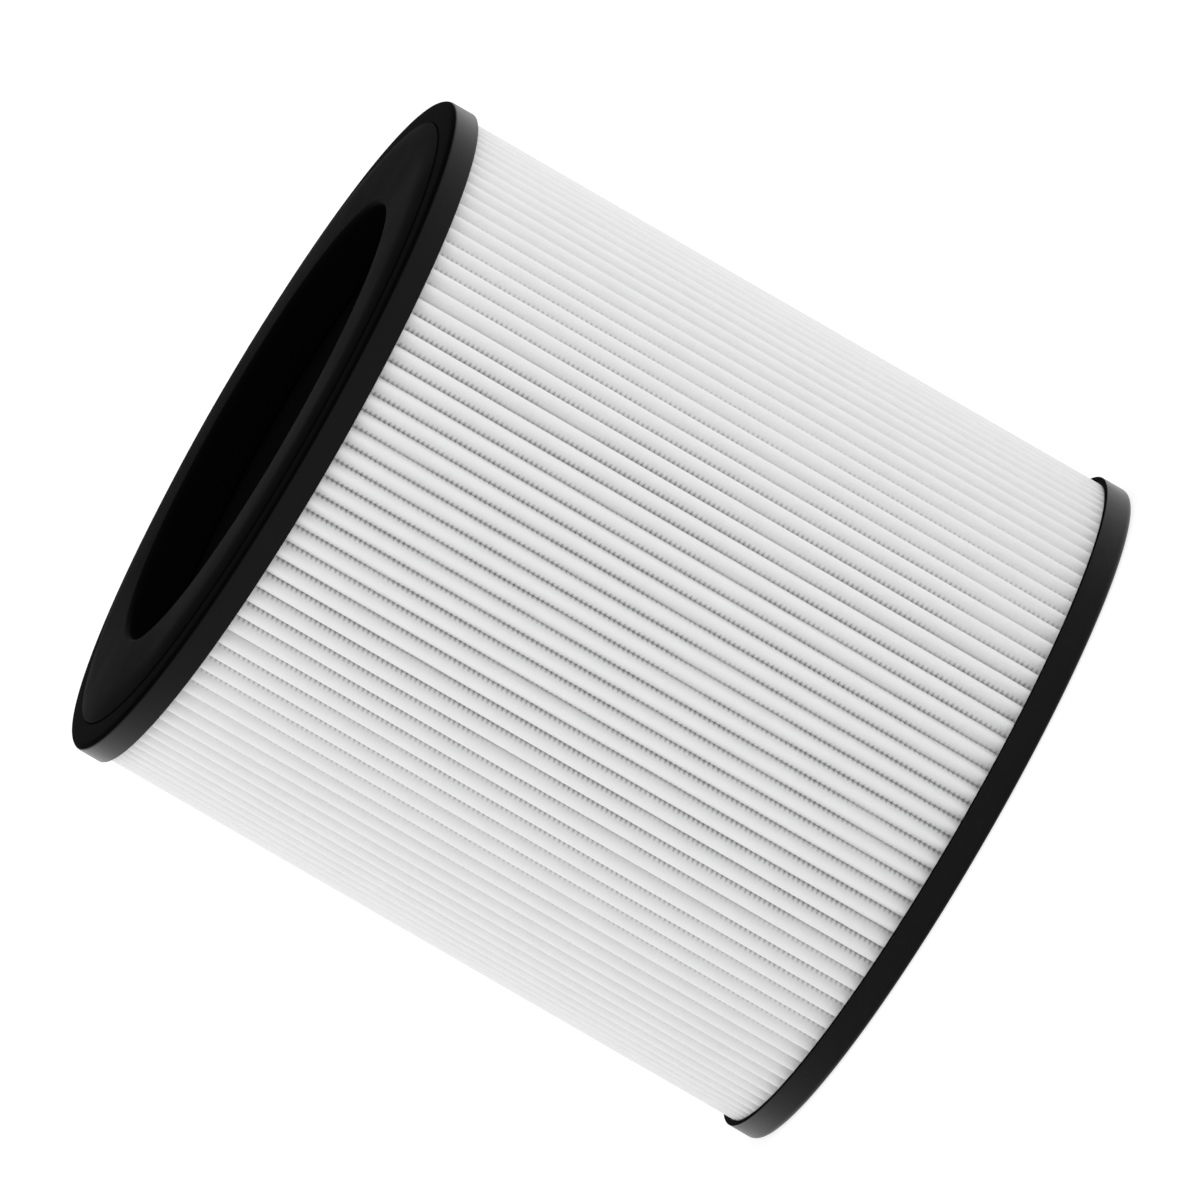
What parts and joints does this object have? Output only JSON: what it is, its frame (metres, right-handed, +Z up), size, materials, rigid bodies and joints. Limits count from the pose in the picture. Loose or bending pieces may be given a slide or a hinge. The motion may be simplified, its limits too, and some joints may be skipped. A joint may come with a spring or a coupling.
{
  "type": "air purifier filter cartridge",
  "caption": "Round pleated air filter cartridge: white folded sheet between two black end caps, one open with a raised seal, one closed.",
  "frame": {"origin": "centre of the face that the filter stands on, under the closed lower cap", "axes": "+Z runs up the filter's axis to the open end with the seal; X and Y are free, because the filter is round"},
  "size_m": [0.17, 0.17, 0.1818],
  "materials": {
    "cap_plastic": "fine moulded satin black",
    "seal_rubber": "soft smooth black",
    "filter_sheet": "white bonded non-woven sheet",
    "carbon_felt": "black carbon-loaded felt",
    "cage_plastic": "moulded black",
    "adhesive": "set pale adhesive"
  },
  "bodies": {
    "root": {"upper_end_cap": "cap_plastic", "lower_end_cap": "cap_plastic", "seal_gasket": "seal_rubber", "pleated_media": "filter_sheet", "carbon_sleeve": "carbon_felt", "inner_cage": "cage_plastic", "upper_adhesive": "adhesive", "lower_adhesive": "adhesive"}
  },
  "joints": []
}
